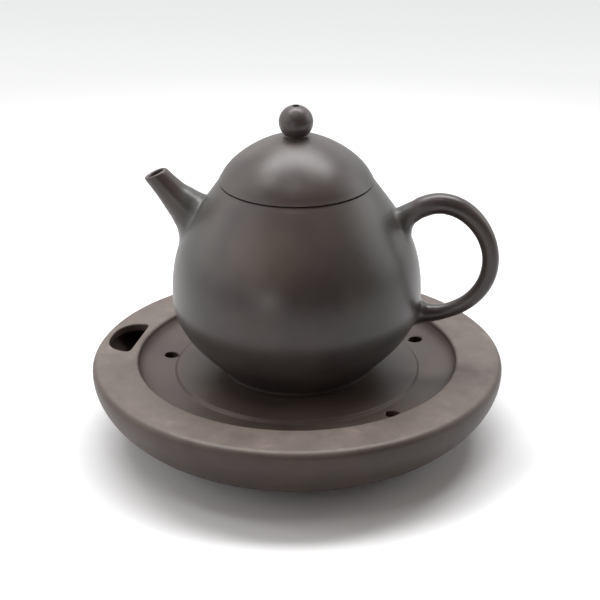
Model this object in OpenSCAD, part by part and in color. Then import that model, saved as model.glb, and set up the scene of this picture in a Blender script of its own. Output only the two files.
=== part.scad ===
// Clay teapot with a ball-knob lid, standing in the well of its round draining tray.
// Millimetres, +Z up. The origin is the middle of the tray's foot, on the surface it stands on.
// The handle reaches along +X and the spout along -X.

/* [Tray] */
// Outer diameter of the tray
tray_d = 150; // [135:1:170]
// Height of the flat rim above the surface that the tray stands on
tray_h = 30.6; // [30:0.1:36]
// Thickness of the tray's bowl
tray_wall = 3.2; // [2.4:0.1:4]
// Thickness of the rim
rim_t = 3; // [2.8:0.1:3.6]
// Thickness of the well's wall and floor
well_t = 2.4; // [1.8:0.1:3]
// Radius of the rim's rounded outer edge
rim_round = 2.7; // [1:0.1:2.8]
// Radius of the rim's rounded inner edge
well_round = 0.8; // [0.4:0.1:1.4]
// Width of the rim, from the well's mouth to the tray's edge
rim_w = 16.8; // [15:0.1:19]
// Width of the well's curved wall, from its mouth in to the flat ground
well_wall_w = 10.2; // [7:0.1:12]
// Distance of the tray's foot ring from the tray's edge
foot_inset = 29; // [25:1:34]
// Width of the tray's foot ring
tray_foot_w = 6; // [4:0.5:10]
// Height of the tray's foot ring
tray_foot_h = 4; // [3:0.5:6]
// Share of the well wall's width that its steep fall from the rim takes
well_lean = 0.1; // [0.04:0.01:0.2]
// Share of the well wall's height that its steep fall covers
well_fall = 0.9; // [0.7:0.01:0.95]
// Share of the well wall's width that runs out level on the ground
well_runout = 0.5; // [0.3:0.01:0.6]
// Drop of the well wall's underside along its steep fall, as a share of its thickness
well_under = 0.8; // [0.6:0.05:1]
// Length over which the bowl's side stays upright under the rim
bowl_side_pull = 11; // [6:0.5:14]
// Length over which the bowl's underside stays level round the foot
bowl_under_pull = 12; // [6:0.5:14]

/* [Pot rest and drains] */
// Width of the ground between the raised disc that the pot stands on and the well's curved wall
ground_w = 3.3; // [2.6:0.1:8]
// Height of the raised disc over the well's floor
rest_t = 1.1; // [0.8:0.1:1.8]
// Radius of the raised disc's rounded edge
rest_edge = 0.66; // [0.3:0.02:0.76]
// Depth of the raised disc's top under the rim
rest_depth = 4.3; // [3:0.1:5.5]
// Bearings of the drain holes from the handle: they are cut by hand, so they differ
drain_angles = [175, 104, 33.5, -41.5]; // [-180:0.5:180]
// Distance of each drain hole's middle from the raised disc's edge
drain_gaps = [3.5, 4.7, 5.8, 5.3]; // [3.2:0.1:6.5]
// Diameter of a drain hole
drain_d = 5; // [4:0.1:6]
// Distance from a drain hole's middle to its pointed inner end
drain_point = 3.1; // [2.6:0.1:3.4]
// Bearing of the pour hole from the handle
pour_angle = 174; // [150:1:210]
// Half the length of the half-moon pour hole's straight side
pour_half = 12.2; // [9:0.1:12.4]
// Land between the pour hole's round side and the tray's edge
pour_edge = 3.5; // [3.4:0.1:5]
// Fullness of the pour hole's round side: 2 is an ellipse, more is blunter
pour_fullness = 2.5; // [2:0.1:3]
// Land between the well's mouth and the pour hole's straight side
pour_land = 2.6; // [2.5:0.1:3]

/* [Pot] */
// Largest diameter of the belly
belly_d = 89.6; // [86:0.2:94]
// Height of the widest place above the pot's foot
belly_z = 29.8; // [27:0.2:33]
// Outer diameter of the mouth rim
mouth_d = 54.6; // [51:0.2:57]
// Height of the mouth rim above the pot's foot
pot_h = 71.5; // [69:0.1:76]
// Diameter of the pot's outline where its base starts
base_d = 55.8; // [52:0.2:60]
// Angle at which the outline leaves the base
base_angle = 49; // [44:1:54]
// Angle at which the outline reaches the mouth
mouth_angle = 125.5; // [120:0.5:130]
// Length over which the outline keeps its angle at the base
base_pull = 10.7; // [8:0.1:13]
// Length over which the outline stays upright under the belly's widest place
belly_pull_down = 12.9; // [10:0.1:15]
// Length over which the outline stays upright over the belly's widest place
belly_pull_up = 19.4; // [16:0.1:22]
// Length over which the outline keeps its angle at the mouth
mouth_pull = 18.2; // [15:0.1:21]
// Thickness of the pot's wall
wall_t = 3; // [2:0.1:3.6]
// Thickness of the pot's base
base_t = 3.2; // [2.4:0.1:4.5]
// Diameter of the pot's foot ring
pot_foot_d = 54; // [46:0.2:55]
// Width of the pot's foot ring
pot_foot_w = 3.6; // [2.4:0.1:6]
// Height of the pot's foot ring
pot_foot_h = 2.2; // [1.6:0.1:3]
// Thickness of the mouth ring that the lid rests on
mouth_t = 3.6; // [3:0.1:5]
// Width of the seat round the mouth's bore
seat_w = 5.8; // [4.8:0.1:7.3]
// Bevel on the two edges that make the seam between the lid and the mouth
seam_bevel = 0.35; // [0.1:0.05:0.6]

/* [Spout] */
// Angle of the spout over the level
spout_angle = 49.4; // [46:0.2:54]
// Depth under the mouth rim at which the spout's axis leaves the wall
spout_drop = 14.3; // [12:0.1:16]
// Length of the spout along its axis, from the wall to the middle of its mouth
spout_len = 20.2; // [16:0.1:24]
// Outer diameter of the spout at its mouth
spout_tip_d = 8.3; // [7.6:0.1:10]
// Outer diameter of the spout where its axis leaves the wall
spout_root_d = 16.6; // [15:0.1:18]
// Share of the flare that is a straight taper
spout_taper = 0.4; // [0.2:0.02:0.7]
// Thickness of the spout's lip
spout_lip = 1.25; // [1:0.05:1.8]
// Diameter of the hole through the wall behind the spout
spout_hole_d = 10.4; // [9:0.1:11.5]
// Angle between the spout's mouth and a square cut
spout_cut = 16.6; // [6:0.2:20]
// Thickness of the strainer disc
strainer_t = 1.2; // [1:0.1:1.8]
// Depth of the strainer's inner face in the wall, along the spout's axis
strainer_depth = 2.3; // [2:0.1:2.6]
// Diameter of a strainer hole
strainer_hole_d = 1.9; // [1.4:0.1:2]
// Number of strainer holes round the middle one
strainer_count = 6; // [4:1:7]
// Diameter of the ring of strainer holes
strainer_ring_d = 6.2; // [5.6:0.1:6.6]

/* [Handle] */
// Depth under the mouth rim at which the handle's upper end leaves the wall
handle_drop = 13.7; // [12:0.1:16]
// Angle at which the handle's upper end leaves the wall
handle_top_angle = 46; // [38:1:54]
// Reach of the handle's crown out of the belly, to the middle of the strap
crown_reach = 6; // [3:0.1:10]
// Depth of the crown under the mouth rim, to the middle of the strap
crown_drop = 6.3; // [3:0.1:9]
// Reach of the handle's outermost place out of the belly, to the middle of the strap
outer_reach = 24.2; // [21:0.1:27]
// Depth of the outermost place under the mouth rim
outer_drop = 27.3; // [24:0.1:30]
// Depth under the belly's widest place at which the handle's lower end meets the wall
low_drop = 7.7; // [5:0.1:10]
// Thickness of the handle at its crown
crown_t = 7.4; // [6:0.1:9]
// Thickness of the handle at its outermost place
outer_t = 6; // [5:0.1:8]
// Thickness of the handle near its lower end
low_t = 5.5; // [4.6:0.1:7]
// How much wider the handle's upper end is where it spreads on the wall
top_flare = 3.4; // [1:0.1:5]
// How much wider the handle's lower end is where it spreads on the wall
low_flare = 5; // [1:0.1:6]
// Length over which each end of the handle spreads
flare_len = 8; // [5:0.5:10]
// Share of the span from the wall to the crown over which the upper root keeps its direction
root_pull = 0.45; // [0.3:0.01:0.6]
// Share of that span over which the handle comes level into its crown
crown_pull_in = 0.34; // [0.2:0.01:0.5]
// Share of the span from the crown to the outermost place over which it leaves the crown level
crown_pull_out = 0.555; // [0.4:0.005:0.7]
// Share of the fall from the crown over which it comes upright into the outermost place
outer_pull_up = 0.485; // [0.35:0.005:0.6]
// Share of the fall to the lower root over which it leaves the outermost place upright
outer_pull_down = 0.545; // [0.4:0.005:0.65]
// Share of the span back to the wall over which the lower root is level
low_pull = 0.63; // [0.45:0.01:0.75]
// Share of the handle's length at which it has thinned to its lower thickness
thin_place = 0.78; // [0.7:0.01:0.88]

/* [Lid] */
// How far the lid's edge stands in from the edge of the mouth rim
lid_inset = 0; // [0:0.05:0.6]
// Height of the lid's dome above the mouth rim
dome_h = 17.3; // [15:0.1:20]
// Angle at which the dome leaves the lid's edge
dome_angle = 104; // [98:1:112]
// Length over which the dome keeps its angle at the edge
dome_edge_pull = 8.4; // [6:0.1:11]
// Length over which the dome stays level at its top
dome_top_pull = 9.5; // [7:0.1:13]
// Thickness of the lid's dome
dome_t = 3.2; // [2.2:0.1:4]
// Thickness of the lid's flat plate
plate_t = 2.4; // [1.8:0.1:3]
// Depth of the lid's flange under the mouth rim
flange_h = 8; // [5:0.5:12]
// Thickness of the lid's flange
flange_t = 2.5; // [1.8:0.1:3]
// Bevel on the lower edge of the lid's flange
flange_lead = 0.75; // [0.3:0.05:1.2]
// Diameter of the ball knob
knob_d = 12; // [10.5:0.1:14]
// Depth to which the ball is set into the dome's top
knob_sink = 1.7; // [1:0.1:2.4]
// Diameter of the steam vent through the knob
vent_d = 2.4; // [1.6:0.1:3]

/* [Fits] */
// Clearance between the lid's flange and the mouth's bore, on each side
lid_fit = 0.3; // [0.2:0.05:0.5]

/* [Hidden] */
$fn = 96;
tray_clay = [0.36, 0.30, 0.28];
pot_clay = [0.30, 0.26, 0.25];
// Steps along each curve of an outline
curve_steps = 12;
// How far a cutting tool runs past what it cuts
past = 1;

tray_r = tray_d / 2;
well_r = tray_r - rim_w;
ground_r = well_r - well_wall_w;
rest_r = ground_r - ground_w;
tray_foot_r = tray_r - foot_inset;
rest_z = tray_h - rest_depth;
floor_z = rest_z - rest_t;
rim_z = tray_h - rim_t;
bowl_z = tray_foot_h;
pour_x = well_r + pour_land;
pour_depth = rim_w - pour_land - pour_edge;

belly_r = belly_d / 2;
mouth_r = mouth_d / 2;
base_r = base_d / 2;
mouth_bore_r = mouth_r - seat_w;
base_top_z = pot_foot_h + base_t;
ring_z = pot_h - mouth_t;
foot_bore_r = pot_foot_d / 2 - pot_foot_w;
spout_root_z = pot_h - spout_drop;
handle_top_z = pot_h - handle_drop;
handle_low_z = belly_z - low_drop;
crown_x = belly_r + crown_reach;
crown_z = pot_h - crown_drop;
outer_x = belly_r + outer_reach;
outer_z = pot_h - outer_drop;

lid_r = mouth_r - lid_inset;
flange_r = mouth_bore_r - lid_fit;
lid_bore_r = flange_r - flange_t;
plate_z = pot_h + plate_t;
dome_z = pot_h + dome_h;
knob_z = dome_z + knob_d / 2 - knob_sink;

// Points of a cubic curve from a to d, with b and c as its pulls
function curve(a, b, c, d) = [
    for (i = [0:curve_steps])
        let (t = i / curve_steps, s = 1 - t)
            s * s * s * a + 3 * s * s * t * b + 3 * s * t * t * c + t * t * t * d
];
// All points of a list but the first
function rest_of(list) = [for (i = [1:len(list) - 1]) list[i]];
function backwards(list) = [for (i = [len(list) - 1:-1:0]) list[i]];
// A step of a given length in a given direction
function step(length, angle) = length * [cos(angle), sin(angle)];
// Points of a round corner about a centre
function corner(centre, radius, from, to) = [
    for (i = [0:curve_steps])
        centre + step(radius, from + (to - from) * i / curve_steps)
];

// Outline of the pot from its base, over the belly, to its mouth
function pot_outline(base, belly, mouth) = concat(
    curve(base, base + step(base_pull, base_angle), belly - [0, belly_pull_down], belly),
    rest_of(curve(belly, belly + [0, belly_pull_up], mouth - step(mouth_pull, mouth_angle), mouth))
);
outer_line = pot_outline([base_r, pot_foot_h], [belly_r, belly_z], [mouth_r, pot_h]);
// The wall leans at the mouth, so its level thickness there is larger
lean_t = wall_t / sin(mouth_angle);
inner_line = pot_outline(
    [base_r - wall_t, base_top_z],
    [belly_r - wall_t, belly_z],
    [mouth_r - lean_t, pot_h]
);
// Radius of the pot's outline at a height
function radius_at(z) = lookup(z, [for (p = outer_line) [p[1], p[0]]]);

// Outline of the lid's dome from its edge to its top
function dome_line(edge, top) = curve(
    edge,
    edge + step(dome_edge_pull, dome_angle),
    [dome_top_pull, top],
    [0, top]
);

// The well's wall falls steeply from the rim and runs out level on the ground
function well_line(shift) = curve(
    [well_r + shift, tray_h - well_round],
    [
        well_r + shift - (well_r - ground_r) * well_lean,
        floor_z + (tray_h - floor_z) * (1 - well_fall) - shift * well_under
    ],
    [ground_r + (well_r - ground_r) * well_runout, floor_z - shift],
    [ground_r, floor_z - shift]
);

module slab(low, high, radius = tray_d) {
    translate([0, 0, low])
        cylinder(r = radius, h = high - low);
}

module ring(outer, inner, low, high) {
    difference() {
        slab(low, high, outer);
        slab(low - past, high + past, inner);
    }
}

// Everything inside a pot outline, from the base up
module pot_solid(line) {
    rotate_extrude()
        polygon(concat([[0, line[0][1]]], line, [[0, line[len(line) - 1][1]]]));
}

module pot_place() {
    translate([0, 0, rest_z])
        children();
}

/* Tray */

module tray_bowl() {
    outer = curve(
        [tray_r, rim_z],
        [tray_r, rim_z - bowl_side_pull],
        [tray_foot_r + bowl_under_pull, bowl_z],
        [tray_foot_r, bowl_z]
    );
    inner = curve(
        [tray_r - tray_wall, rim_z],
        [tray_r - tray_wall, rim_z - bowl_side_pull],
        [tray_foot_r + bowl_under_pull, bowl_z + tray_wall],
        [tray_foot_r, bowl_z + tray_wall]
    );
    color(tray_clay)
        rotate_extrude()
            polygon(concat(outer, [[0, bowl_z]], [[0, bowl_z + tray_wall]], backwards(inner)));
}

module tray_foot_ring() {
    color(tray_clay)
        ring(tray_foot_r, tray_foot_r - tray_foot_w, 0, tray_foot_h);
}

// Section of the rim and the well together
module deck_section() {
    polygon(concat(
        corner([tray_r - rim_round, tray_h - rim_round], rim_round, 0, 90),
        corner([well_r + well_round, tray_h - well_round], well_round, 90, 180),
        rest_of(well_line(0)),
        [[0, floor_z], [0, floor_z - well_t]],
        backwards([for (p = well_line(well_t)) if (p[1] < rim_z) p]),
        [[well_r + well_t, rim_z], [tray_r, rim_z]]
    ));
}

// Half-moon through the rim, with its straight side towards the pot
module pour_hole() {
    power = 2 / pour_fullness;
    half_moon = [
        for (i = [-curve_steps:curve_steps])
            let (a = 90 * i / curve_steps)
                [pour_depth * pow(cos(a), power), pour_half * sign(a) * pow(abs(sin(a)), power)]
    ];
    rotate(pour_angle)
        translate([pour_x, 0, rim_z - past])
            linear_extrude(rim_t + 2 * past)
                polygon(half_moon);
}

module tray_rim() {
    color(tray_clay)
        difference() {
            intersection() {
                rotate_extrude()
                    deck_section();
                slab(rim_z, tray_h + past);
            }
            pour_hole();
        }
}

// A round hole that runs to a point on the side of the pot
module drain_hole(depth) {
    side = drain_point / sqrt(2);
    cylinder(d = drain_d, h = depth);
    rotate(135)
        cube([side, side, depth]);
}

module tray_well() {
    color(tray_clay)
        difference() {
            intersection() {
                rotate_extrude()
                    deck_section();
                slab(floor_z - well_t - past, rim_z);
            }
            for (i = [0:len(drain_angles) - 1])
                rotate(drain_angles[i])
                    translate([rest_r + drain_gaps[i], 0, floor_z - well_t - past])
                        drain_hole(well_t + rest_t + past);
        }
}

module tray_rest() {
    color(tray_clay)
        rotate_extrude()
            polygon(concat(
                [[0, floor_z], [rest_r, floor_z]],
                corner([rest_r - rest_edge, rest_z - rest_edge], rest_edge, 0, 90),
                [[0, rest_z]]
            ));
}

/* Pot */

module pot_wall() {
    color(pot_clay)
        pot_place()
            difference() {
                pot_solid(outer_line);
                pot_solid(inner_line);
                slab(pot_foot_h - past, base_top_z);
                slab(ring_z, pot_h + past);
                spout_place()
                    translate([0, 0, -spout_hole_d])
                        cylinder(d = spout_hole_d, h = spout_len);
            }
}

module pot_base() {
    color(pot_clay)
        pot_place()
            intersection() {
                pot_solid(outer_line);
                slab(pot_foot_h, base_top_z);
            }
}

module pot_foot_ring() {
    color(pot_clay)
        pot_place()
            ring(pot_foot_d / 2, foot_bore_r, 0, pot_foot_h);
}

module pot_mouth_ring() {
    color(pot_clay)
        pot_place()
            difference() {
                intersection() {
                    pot_solid(outer_line);
                    slab(ring_z, pot_h);
                }
                slab(ring_z - past, pot_h + past, mouth_bore_r);
                // The bevel on the outer edge of the seat
                rotate_extrude()
                    polygon([
                        [mouth_r - seam_bevel, pot_h],
                        [mouth_r + past, pot_h - seam_bevel - past],
                        [mouth_r + past, pot_h + past],
                        [mouth_r - seam_bevel, pot_h + past]
                    ]);
            }
}

/* Spout */

// Puts a piece on the spout's axis: its origin on the wall, +Z out along the spout
module spout_place() {
    translate([-radius_at(spout_root_z), 0, spout_root_z])
        rotate([0, spout_angle - 90, 0])
            children();
}

// Radius of the spout at a distance from its mouth towards the pot
function spout_r(u) = let (share = u / spout_len)
    spout_tip_d / 2
    + (spout_root_d - spout_tip_d) / 2 * (spout_taper * share + (1 - spout_taper) * pow(share, 3));

module spout() {
    // The flare runs on inside the wall, where the pot's own outline trims it
    depth = spout_len + spout_root_d / 2;
    ahead = spout_tip_d / 2;
    flare = [
        for (i = [0:curve_steps * 2])
            let (u = depth * i / (curve_steps * 2))
                [spout_r(u), spout_len - u]
    ];
    tip_bore = spout_tip_d / 2 - spout_lip;
    color(pot_clay)
        pot_place()
            difference() {
                spout_place()
                    difference() {
                        rotate_extrude()
                            polygon(concat(
                                [[spout_tip_d / 2, spout_len + ahead]],
                                flare,
                                [[0, spout_len - depth], [0, spout_len + ahead]]
                            ));
                        // The bore widens from the lip to the hole in the wall
                        rotate_extrude()
                            polygon([
                                [0, spout_len + ahead + past],
                                [tip_bore, spout_len + ahead + past],
                                [tip_bore, spout_len],
                                [spout_hole_d / 2, 0],
                                [spout_hole_d / 2, -depth],
                                [0, -depth]
                            ]);
                        // The mouth is cut flatter than square to the axis
                        translate([0, 0, spout_len])
                            rotate([0, spout_cut, 0])
                                slab(0, spout_len);
                    }
                pot_solid(outer_line);
            }
}

// A perforated disc closes the hole in the wall, so that leaves stay in the pot
module spout_strainer() {
    color(pot_clay)
        pot_place()
            spout_place()
                translate([0, 0, -strainer_depth])
                    difference() {
                        cylinder(d = spout_hole_d, h = strainer_t);
                        slab(-past, strainer_t + past, strainer_hole_d / 2);
                        for (i = [0:strainer_count - 1])
                            rotate(i * 360 / strainer_count)
                                translate([strainer_ring_d / 2, 0, -past])
                                    cylinder(d = strainer_hole_d, h = strainer_t + 2 * past);
                    }
}

/* Handle */

top_root = [radius_at(handle_top_z), handle_top_z];
low_root = [radius_at(handle_low_z), handle_low_z];
crown = [crown_x, crown_z];
outermost = [outer_x, outer_z];
// The pulls keep the loop's shape when its places move
crown_span = crown_x - top_root[0];
fall = crown_z - outer_z;
return_span = outer_x - low_root[0];
handle_path = concat(
    [top_root - step(wall_t, handle_top_angle)],
    curve(
        top_root,
        top_root + step(crown_span * root_pull, handle_top_angle),
        crown - [crown_span * crown_pull_in, 0],
        crown
    ),
    rest_of(curve(
        crown,
        crown + [(outer_x - crown_x) * crown_pull_out, 0],
        outermost + [0, fall * outer_pull_up],
        outermost
    )),
    rest_of(curve(
        outermost,
        outermost - [0, (outer_z - handle_low_z) * outer_pull_down],
        low_root + [return_span * low_pull, 0],
        low_root
    )),
    [low_root - [wall_t, 0]]
);

// Distance along the path to each of its points
function lengths(path, i = 0, sum = 0) = i == len(path) ? [] : concat(
    [sum + (i == 0 ? 0 : norm(path[i] - path[i - 1]))],
    lengths(path, i + 1, sum + (i == 0 ? 0 : norm(path[i] - path[i - 1])))
);
handle_run = lengths(handle_path);
handle_len = handle_run[len(handle_run) - 1];
function spread(distance, extra) = extra / 2 * pow(max(0, 1 - distance / flare_len), 2);
function handle_r(s) = lookup(s, [
        [0, crown_t / 2],
        [handle_run[curve_steps + 1], crown_t / 2],
        [handle_run[curve_steps * 2 + 1], outer_t / 2],
        [handle_len * thin_place, low_t / 2],
        [handle_len, low_t / 2]
    ])
    + spread(s, top_flare)
    + spread(handle_len - s, low_flare);

module handle() {
    sides = 24;
    last = len(handle_path) - 1;
    rings = [
        for (i = [0:last])
            let (
                way = handle_path[min(i + 1, last)] - handle_path[max(i - 1, 0)],
                across = [way[1], -way[0]] / norm(way),
                radius = handle_r(handle_run[i])
            )
                for (j = [0:sides - 1])
                    let (a = 360 * j / sides)
                        [
                            handle_path[i][0] + radius * cos(a) * across[0],
                            radius * sin(a),
                            handle_path[i][1] + radius * cos(a) * across[1]
                        ]
    ];
    sides_faces = [
        for (i = [0:last - 1], j = [0:sides - 1])
            let (
                k = (j + 1) % sides,
                near = i * sides,
                far = near + sides
            )
                each [[near + j, near + k, far + k], [near + j, far + k, far + j]]
    ];
    ends = [
        [for (j = [sides - 1:-1:0]) j],
        [for (j = [0:sides - 1]) last * sides + j]
    ];
    color(pot_clay)
        pot_place()
            difference() {
                polyhedron(rings, concat(sides_faces, ends));
                pot_solid(outer_line);
            }
}

/* Lid */

// Everything inside the lid's dome, from the mouth rim up
module dome_solid(edge, top, low) {
    rotate_extrude()
        polygon(concat([[0, low]], dome_line(edge, top)));
}

module vent() {
    slab(pot_h, knob_z + knob_d, vent_d / 2);
}

module lid_dome() {
    color(pot_clay)
        pot_place()
            difference() {
                dome_solid([lid_r, pot_h], dome_z, pot_h);
                dome_solid([lid_r - dome_t, pot_h], dome_z - dome_t, pot_h);
                slab(pot_h - past, plate_z);
                vent();
            }
}

module lid_plate() {
    color(pot_clay)
        pot_place()
            difference() {
                intersection() {
                    dome_solid([lid_r, pot_h], dome_z, pot_h);
                    slab(pot_h, plate_z);
                }
                slab(pot_h - past, plate_z + past, lid_bore_r);
                // The bevel on the lid's lower edge
                rotate_extrude()
                    polygon([
                        [lid_r - seam_bevel, pot_h],
                        [lid_r + past, pot_h + seam_bevel + past],
                        [lid_r + past, pot_h - past],
                        [lid_r - seam_bevel, pot_h - past]
                    ]);
            }
}

module lid_flange() {
    low = pot_h - flange_h;
    color(pot_clay)
        pot_place()
            rotate_extrude()
                polygon([
                    [lid_bore_r, pot_h],
                    [lid_bore_r, low],
                    [flange_r - flange_lead, low],
                    [flange_r, low + flange_lead],
                    [flange_r, pot_h]
                ]);
}

module lid_knob() {
    color(pot_clay)
        pot_place()
            difference() {
                translate([0, 0, knob_z])
                    sphere(d = knob_d);
                dome_solid([lid_r, pot_h], dome_z, pot_h);
                vent();
            }
}

tray_bowl();
tray_foot_ring();
tray_well();
tray_rim();
tray_rest();
pot_wall();
pot_base();
pot_foot_ring();
pot_mouth_ring();
spout();
spout_strainer();
handle();
lid_dome();
lid_plate();
lid_flange();
lid_knob();
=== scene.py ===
from math import acos, atan2, copysign, cos, degrees, hypot, radians, sin, tau

import bmesh
import bpy
from bpy.props import FloatProperty, FloatVectorProperty, IntProperty, PointerProperty
from mathutils import Matrix, Vector


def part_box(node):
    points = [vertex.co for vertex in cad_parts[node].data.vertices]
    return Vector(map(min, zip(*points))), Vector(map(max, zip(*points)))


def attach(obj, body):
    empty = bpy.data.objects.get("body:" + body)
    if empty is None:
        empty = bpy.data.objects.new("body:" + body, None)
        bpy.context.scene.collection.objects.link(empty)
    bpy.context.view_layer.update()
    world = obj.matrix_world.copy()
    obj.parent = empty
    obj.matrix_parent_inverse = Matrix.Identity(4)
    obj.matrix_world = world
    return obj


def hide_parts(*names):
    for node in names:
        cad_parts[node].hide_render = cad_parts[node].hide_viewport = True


bl_info = {
    "name": "Clay Teapot and Draining Tray",
    "version": (1, 0, 0),
    "blender": (4, 5, 0),
    "location": "3D View > Sidebar > Teapot",
    "description": "Models the pot, its lid, spout and handle and the tray, with their clay and a studio",
    "category": "Add Mesh",
}

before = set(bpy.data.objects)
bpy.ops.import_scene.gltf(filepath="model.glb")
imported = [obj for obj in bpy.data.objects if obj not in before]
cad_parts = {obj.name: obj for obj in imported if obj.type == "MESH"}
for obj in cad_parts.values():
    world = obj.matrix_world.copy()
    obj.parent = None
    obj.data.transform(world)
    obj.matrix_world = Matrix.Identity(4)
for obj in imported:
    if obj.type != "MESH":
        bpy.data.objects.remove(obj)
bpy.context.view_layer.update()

MM = 0.001
TRAY_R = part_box("tray_rim")[1].x
RIM_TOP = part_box("tray_rim")[1].z
RIM_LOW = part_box("tray_rim")[0].z
REST_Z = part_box("tray_rest")[1].z
FLOOR_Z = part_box("tray_rest")[0].z
REST_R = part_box("tray_rest")[1].x
WELL_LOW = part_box("tray_well")[0].z
BOWL_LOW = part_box("tray_bowl")[0].z
TRAY_FOOT_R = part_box("tray_foot_ring")[1].x
BELLY_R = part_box("pot_wall")[1].x
FOOT_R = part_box("pot_foot_ring")[1].x
FOOT_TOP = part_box("pot_foot_ring")[1].z
BASE_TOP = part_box("pot_base")[1].z
SEAT_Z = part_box("pot_mouth_ring")[1].z
LID_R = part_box("lid_plate")[1].x
PLATE_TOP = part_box("lid_plate")[1].z
FLANGE_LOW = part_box("lid_flange")[0].z
FLANGE_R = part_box("lid_flange")[1].x
# How far the edge of a root lies under the belly's surface, so that no gap shows
EDGE_SINK = -0.015 * MM


def length(label, about, millimetres):
    return FloatProperty(
        name=label, description=about, default=millimetres * MM, min=0.0,
        subtype="DISTANCE", unit="LENGTH", precision=5,
    )


def colour(label, about, rgb):
    return FloatVectorProperty(
        name=label, description=about, default=rgb, min=0.0, max=1.0, size=3, subtype="COLOR",
    )


class TraySizes(bpy.types.PropertyGroup):
    """Sizes of the draining tray"""

    rim_w: length("Rim width", "From the well's mouth to the tray's edge", 16.8)
    rim_round: length("Rim edge", "Radius of the rim's outer edge", 2.7)
    well_round: length("Well edge", "Radius of the rim's inner edge", 1.2)
    well_wall_w: length("Well wall", "Width of the well's curved wall", 10.2)
    well_t: length("Well thickness", "Thickness of the well's wall and floor", 2.4)
    bowl_t: length("Bowl thickness", "Thickness of the bowl's wall", 3.2)
    side_pull: length("Upright side", "How long the bowl's side stays upright", 11)
    under_pull: length("Level underside", "How long the bowl's underside stays level", 15)
    foot_w: length("Foot width", "Width of the tray's foot ring", 6)
    crease: length("Rest edge", "Width over which the rest's edge rolls over", 0.7)
    drain_d: length("Drain hole", "Diameter of a drain hole", 5.0)
    drain_point: length("Drain point", "From a drain hole's middle to its pointed end", 3.1)
    pour_half: length("Pour hole half length", "Half of its straight side", 12.2)
    pour_land: length("Pour hole land", "From the well's mouth to the straight side", 2.6)
    pour_edge: length("Pour hole margin", "From the round side to the tray's edge", 3.5)


class PotSizes(bpy.types.PropertyGroup):
    """Sizes of the pot"""

    mouth_r: length("Mouth radius", "Radius of the mouth rim's edge", 27.3)
    belly_z: length("Belly height", "Height of the widest place over the foot", 29.8)
    base_r: length("Base radius", "Radius of the outline where the base starts", 27.9)
    wall_t: length("Wall thickness", "Thickness of the pot's wall", 3)
    foot_w: length("Foot width", "Width of the pot's foot ring", 3.6)
    spout_above: length("Spout root, above", "Smoothing over the spout's root", 0.4)
    spout_fillet: length("Spout root, beside", "Smoothing beside the spout's root", 3.4)
    spout_below: length("Spout root, below", "Smoothing under the spout's root", 4.6)
    top_above: length("Handle top, above", "Smoothing over the handle's upper root", 1.8)
    top_fillet: length("Handle top, beside", "Smoothing beside the handle's upper root", 4.2)
    top_tail: length("Handle top, below", "Smoothing under the handle's upper root", 7.5)
    low_above: length("Handle foot, above", "Smoothing over the handle's lower root", 2.8)
    low_fillet: length("Handle foot, beside", "Smoothing beside the handle's lower root", 3.0)
    low_below: length("Handle foot, below", "Smoothing under the handle's lower root", 1.8)
    seat_w: length("Seat width", "Width of the seat round the mouth's bore", 5.8)
    seam: length("Seam edge", "Radius of the two edges that make the lid's seam", 0.35)
    slot: length("Seam slot", "Height of the thin gap under the lid's edge", 0.36)
    slot_depth: length("Seam depth", "How far the thin gap runs in", 1.1)
    dome_t: length("Dome thickness", "Thickness of the lid's dome", 3.2)
    knob_r: length("Knob radius", "Radius of the ball knob", 6)
    vent_r: length("Vent radius", "Radius of the steam vent", 1.2)


class ClayLooks(bpy.types.PropertyGroup):
    """Colours and grain of the fired clay"""

    pot_dark: colour("Pot dark clay", "Darker clay of the pot", (0.050, 0.040, 0.040))
    pot_light: colour("Pot light clay", "Lighter clay of the pot", (0.076, 0.061, 0.056))
    # The pot's grey is a painted sheen: the white set reflected on the pot's left and right sides
    pot_sheen_grey: colour("Pot kiln bloom", "Grey-green bloom on the pot", (0.060, 0.062, 0.058))
    # The pot's redder patch is redder clay and painted light: it is paler where the front is lit
    pot_lit_blush: colour("Pot blush", "Redder patch on the pot's front", (0.104, 0.080, 0.068))
    tray_dark: colour("Tray dark clay", "Darker clay of the tray", (0.064, 0.046, 0.042))
    tray_light: colour("Tray light clay", "Lighter clay of the tray", (0.092, 0.068, 0.058))
    tray_cool: colour("Tray kiln bloom", "Grey bloom on the tray", (0.078, 0.066, 0.060))
    # The rim's flat top is drawn in a paler clay than the rest of the tray
    rim_top_clay: colour("Dry rim clay", "Rubbed, dry clay on the rim's flat top", (0.162, 0.131, 0.116))
    floor: colour("Floor", "Colour of the floor", (0.915, 0.925, 0.935))
    backdrop: colour("Backdrop", "White of the set where it runs off behind", (0.79, 0.81, 0.80))
    room: colour("Room", "Dim light of the room on the camera's side", (0.092, 0.066, 0.052))
    sides: IntProperty(name="Sides", description="Faces round a turned piece", default=160, min=48)


# Outlines

def line_to(*point):
    return [Vector(point)]


def curve_to(start, pull_a, pull_b, end, steps):
    """Points of a cubic curve after its start"""
    a, b, c, d = (Vector(p) for p in (start, pull_a, pull_b, end))
    return [
        (1 - t) ** 3 * a + 3 * (1 - t) ** 2 * t * b + 3 * (1 - t) * t ** 2 * c + t ** 3 * d
        for t in (i / steps for i in range(1, steps + 1))
    ]


def round_to(centre, radius, from_deg, to_deg, steps=8):
    """Points of an arc round a centre, both ends included"""
    return [
        Vector(centre) + radius * Vector((cos(a), sin(a)))
        for a in (radians(from_deg + (to_deg - from_deg) * i / steps) for i in range(steps + 1))
    ]


def along(far, angle):
    """A move of a given length at an angle above level, in degrees"""
    return far * Vector((cos(radians(angle)), sin(radians(angle))))


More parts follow.
